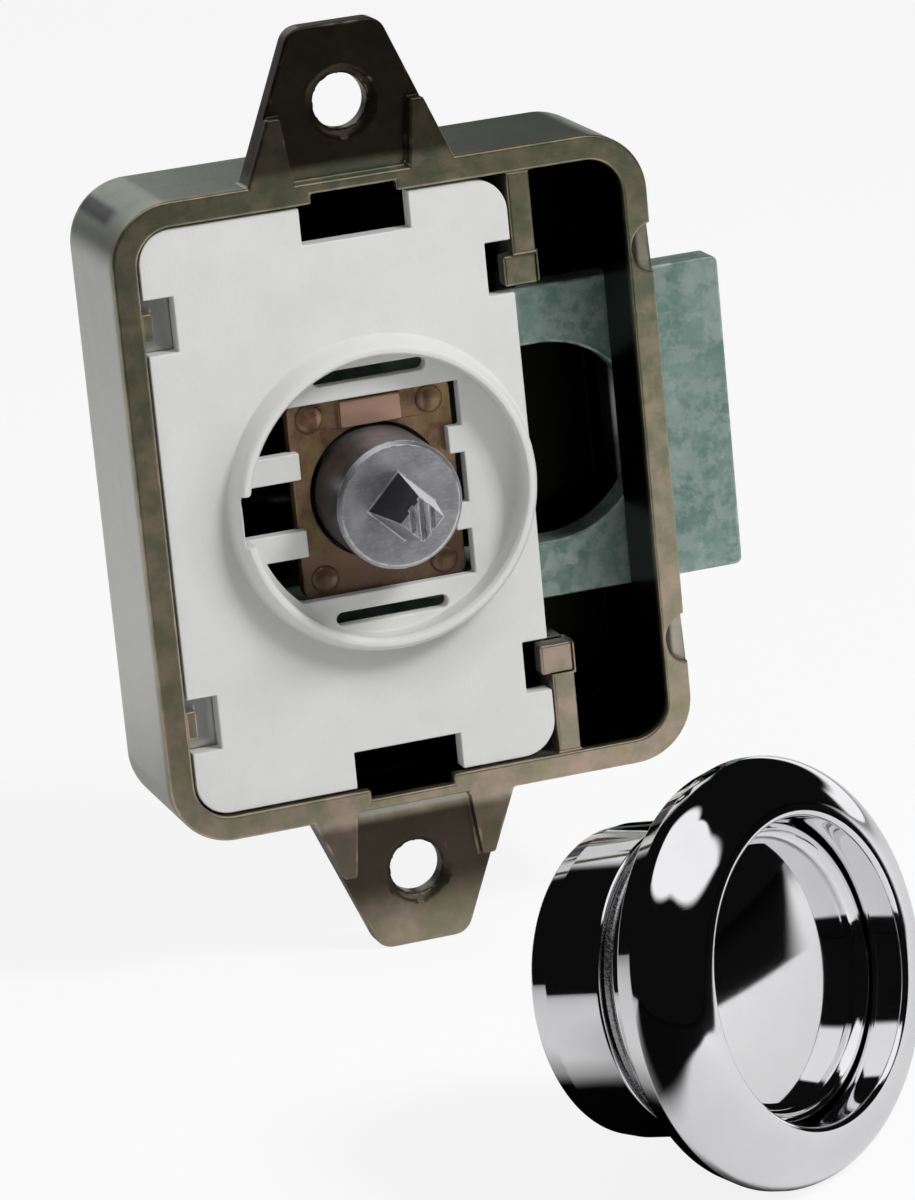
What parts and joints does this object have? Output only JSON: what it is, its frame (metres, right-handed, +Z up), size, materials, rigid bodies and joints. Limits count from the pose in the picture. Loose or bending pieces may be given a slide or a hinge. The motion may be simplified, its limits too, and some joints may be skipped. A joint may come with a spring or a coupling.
{
  "type": "push button cabinet lock",
  "caption": "Push button cabinet lock: flat cast case with screw ears, a collared cover, a spring-out spindle and a sliding dead bolt, with its round rosette and push knob.",
  "frame": {"origin": "on the spindle's axis, in the plane of the case's front rim, midway between the two screw holes", "axes": "+X the way the bolt is thrown, +Y from the front to the case's back, +Z up along the line of the ears"},
  "size_m": [0.0522, 0.0884, 0.0754],
  "materials": {
    "case_zinc": "yellow chromated zinc casting, satin",
    "cover_white": "matt white",
    "copper_steel": "coppered, satin",
    "steel": "bright",
    "spring_wire": "drawn bright",
    "cast_zinc": "bare zinc casting, rough",
    "bolt_zinc": "zinc plated, blue-green, mottled",
    "black_nylon": "matt black",
    "chrome": "polished"
  },
  "bodies": {
    "lock": {"lock_case": "case_zinc", "cover_plate": "cover_white", "guide_plate": "copper_steel", "guide_rivets": "copper_steel", "guide_spacers": "steel", "guide_bush": "black_nylon", "spring_guide_pin": "steel", "spindle_spring": "spring_wire", "catch_wire": "spring_wire", "wire_block": "black_nylon", "rosette": "chrome", "rosette_ring": "steel", "rosette_liner": "black_nylon"},
    "spindle": {"spindle": "cast_zinc", "drive_pins": "steel", "heart_cam": "cast_zinc", "cam_pins": "steel"},
    "bolt": {"bolt": "bolt_zinc"},
    "knob": {"push_knob": "chrome", "knob_insert": "black_nylon", "knob_clip": "steel"}
  },
  "joints": [
    {"name": "spindle_slide", "type": "slide", "parent": "lock", "child": "spindle", "axis": [0, -1, 0], "range_m": [-0.001, 0.0064], "deforming": ["spindle_spring", "catch_wire"]},
    {"name": "bolt_slide", "type": "slide", "parent": "lock", "child": "bolt", "axis": [-1, 0, 0], "range_m": [-0.00125, 0.008]},
    {"name": "knob_slide", "type": "slide", "parent": "lock", "child": "knob", "axis": [0.5445, -0.8195, 0.1788], "range_m": [-0.001, 0.0064]}
  ],
  "couplings": [
    {"joint": "bolt_slide", "follows": "spindle_slide", "ratio": 1.25}
  ]
}
